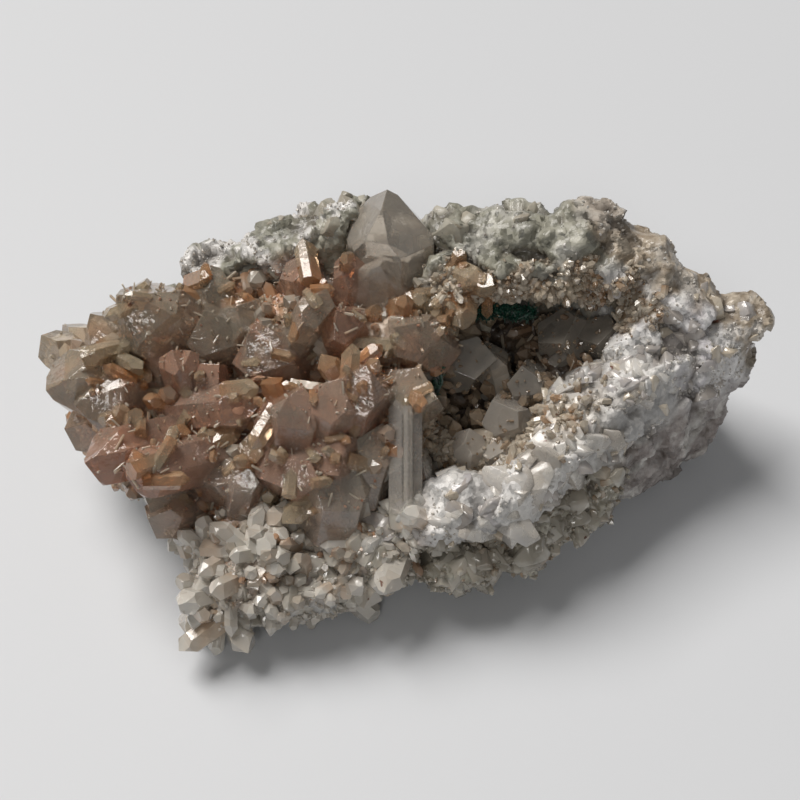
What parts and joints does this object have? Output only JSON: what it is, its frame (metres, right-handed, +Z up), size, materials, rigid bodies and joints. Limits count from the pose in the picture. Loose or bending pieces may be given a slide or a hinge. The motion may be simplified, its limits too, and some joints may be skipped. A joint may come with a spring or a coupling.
{
  "type": "mineral specimen",
  "caption": "Cabinet-size crystal specimen: a grey rock with a crust of smoky translucent crystals, an open crystal-lined hollow and a flat broken base.",
  "frame": {"origin": "on the table, under the middle of the flat broken base", "axes": "+X along the specimen towards its tan tip, +Y from the crystal face to the back ridge, +Z up"},
  "size_m": [0.1012, 0.0567, 0.0391],
  "materials": {
    "matrix_rock": "matte",
    "smoky_crystal": "gloss",
    "grey_crystal": "gloss",
    "clear_crystal": "gloss",
    "hollow_crystal": "gloss",
    "grainy_crust": "satin",
    "white_crust": "satin",
    "green_mineral": "matte"
  },
  "bodies": {
    "root": {"matrix_rock": "matrix_rock", "crystal_cluster": "smoky_crystal", "peak_crystal": "grey_crystal", "tall_prism": "grey_crystal", "front_fringe": "clear_crystal", "hollow_crust": "hollow_crystal", "lip_druse": "grainy_crust", "white_crust": "white_crust", "green_tuft": "green_mineral", "green_blade": "green_mineral"}
  },
  "joints": []
}
